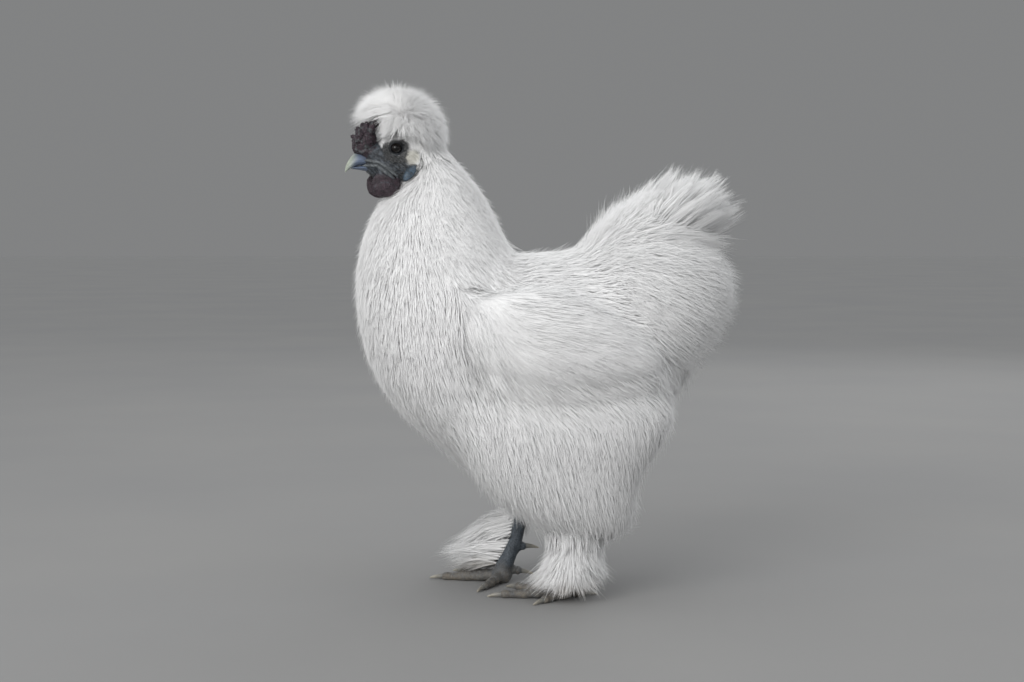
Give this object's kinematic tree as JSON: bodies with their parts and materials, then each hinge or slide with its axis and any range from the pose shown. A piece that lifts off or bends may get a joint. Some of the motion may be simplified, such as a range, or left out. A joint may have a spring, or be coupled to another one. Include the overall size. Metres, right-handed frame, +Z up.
{
  "type": "silkie chicken",
  "caption": "Life-size standing silkie chicken, a still display figure with a round crest, walnut comb, wattles, hooked beak, fluffy tail and feathered feet.",
  "frame": {"origin": "on the ground, under the middle of the bird's bounding box", "axes": "+Z is up, -X is the way the bird faces, and -Y is its left side, which the picture shows"},
  "size_m": [0.2679, 0.1798, 0.3448],
  "materials": {
    "plumage": "soft white down-like plumage",
    "dusty_plumage": "white plumage with dusty tan tips",
    "face_skin": "dark slate skin, matte and creased",
    "comb_skin": "dark mulberry skin, pebbled",
    "lobe_skin": "smooth turquoise-blue skin",
    "beak_horn": "blue-grey horn with a pale tip",
    "leg_skin": "dark slate scaled skin with dust",
    "claw_horn": "dull grey-tan horn",
    "eye": "glossy black"
  },
  "bodies": {
    "root": {"beak_lower": "beak_horn", "beak_upper": "beak_horn", "breast": "plumage", "claw_fifth_left": "claw_horn", "claw_fifth_right": "claw_horn", "claw_hind_left": "claw_horn", "claw_hind_right": "claw_horn", "claw_inner_left": "claw_horn", "claw_inner_right": "claw_horn", "claw_middle_left": "claw_horn", "claw_middle_right": "claw_horn", "claw_outer_left": "claw_horn", "claw_outer_right": "claw_horn", "comb": "comb_skin", "crest": "plumage", "cushion": "plumage", "eye_left": "eye", "eye_right": "eye", "head": "face_skin", "leg_feathers_left": "dusty_plumage", "leg_feathers_right": "dusty_plumage", "lobe_left": "lobe_skin", "lobe_right": "lobe_skin", "neck": "plumage", "shank_left": "leg_skin", "shank_right": "leg_skin", "tail": "plumage", "thigh_left": "plumage", "thigh_right": "plumage", "toe_fifth_left": "leg_skin", "toe_fifth_right": "leg_skin", "toe_hind_left": "leg_skin", "toe_hind_right": "leg_skin", "toe_inner_left": "leg_skin", "toe_inner_right": "leg_skin", "toe_middle_left": "leg_skin", "toe_middle_right": "leg_skin", "toe_outer_left": "leg_skin", "toe_outer_right": "leg_skin", "trunk": "plumage", "wattle_left": "comb_skin", "wattle_right": "comb_skin", "wing_left": "plumage", "wing_right": "plumage"}
  },
  "joints": []
}
